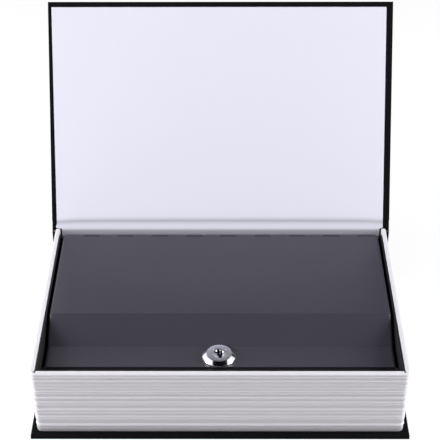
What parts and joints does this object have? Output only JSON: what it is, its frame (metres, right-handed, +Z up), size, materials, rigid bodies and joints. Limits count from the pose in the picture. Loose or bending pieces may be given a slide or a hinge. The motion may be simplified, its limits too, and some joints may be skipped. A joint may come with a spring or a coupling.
{
  "type": "book diversion safe",
  "caption": "Hollow hardcover book with ribbed white page edges round a grey steel cash box, its hinged lid stepped down at the front for a cam lock.",
  "frame": {"origin": "middle of the back cover's underside, which the closed book lies on", "axes": "+X from the book's head to its tail, +Y from the fore edge to the spine, +Z up from the back cover"},
  "size_m": [0.24, 0.233, 0.1931],
  "materials": {
    "cloth": "matte",
    "board": "matte",
    "endpaper": "matte",
    "pages": "satin",
    "box_paint": "satin",
    "lid_paint": "satin",
    "chrome": "polished",
    "plain_steel": "satin",
    "brass": "satin"
  },
  "bodies": {
    "base": {"back_board": "board", "spine_board": "board", "case_cloth": "cloth", "back_endpaper": "endpaper", "joint_cloth": "cloth", "endpaper_hinge": "endpaper", "page_frame": "pages", "steel_box": "box_paint", "hinge_pin": "plain_steel"},
    "front_cover": {"front_board": "board", "front_cloth": "cloth", "front_endpaper": "endpaper"},
    "lid": {"lid_panel": "lid_paint", "lock_housing": "chrome", "lock_washer": "plain_steel", "lock_nut": "plain_steel"},
    "plug": {"lock_plug": "chrome", "lock_cam": "plain_steel", "cam_washer": "plain_steel", "cam_screw": "plain_steel", "wafer_spring_1": "plain_steel", "wafer_spring_2": "plain_steel", "wafer_spring_3": "plain_steel", "wafer_spring_4": "plain_steel", "wafer_spring_5": "plain_steel"},
    "wafer_1": {"wafer_1": "brass"},
    "wafer_2": {"wafer_2": "brass"},
    "wafer_3": {"wafer_3": "brass"},
    "wafer_4": {"wafer_4": "brass"},
    "wafer_5": {"wafer_5": "brass"}
  },
  "joints": [
    {"name": "cover_hinge", "type": "hinge", "parent": "base", "child": "front_cover", "pos_m": [0, 0.0785, 0.0519], "axis": [-1, 0, 0], "range_deg": [-116.9, 80], "deforming": ["joint_cloth", "endpaper_hinge"]},
    {"name": "lid_hinge", "type": "hinge", "parent": "base", "child": "lid", "pos_m": [0, 0.0709, 0.0492], "axis": [-1, 0, 0], "range_deg": [0, 100]},
    {"name": "plug_turn", "type": "hinge", "parent": "lid", "child": "plug", "pos_m": [-0.0006, -0.0472, 0.0354], "axis": [0, 0, -1], "range_deg": [0, 90]},
    {"name": "wafer_1_slide", "type": "slide", "parent": "plug", "child": "wafer_1", "axis": [0, 1, 0], "range_m": [0, 0.0009], "deforming": ["wafer_spring_1"]},
    {"name": "wafer_2_slide", "type": "slide", "parent": "plug", "child": "wafer_2", "axis": [0, 1, 0], "range_m": [0, 0.0009], "deforming": ["wafer_spring_2"]},
    {"name": "wafer_3_slide", "type": "slide", "parent": "plug", "child": "wafer_3", "axis": [0, 1, 0], "range_m": [0, 0.0009], "deforming": ["wafer_spring_3"]},
    {"name": "wafer_4_slide", "type": "slide", "parent": "plug", "child": "wafer_4", "axis": [0, 1, 0], "range_m": [0, 0.0009], "deforming": ["wafer_spring_4"]},
    {"name": "wafer_5_slide", "type": "slide", "parent": "plug", "child": "wafer_5", "axis": [0, 1, 0], "range_m": [0, 0.0009], "deforming": ["wafer_spring_5"]}
  ]
}
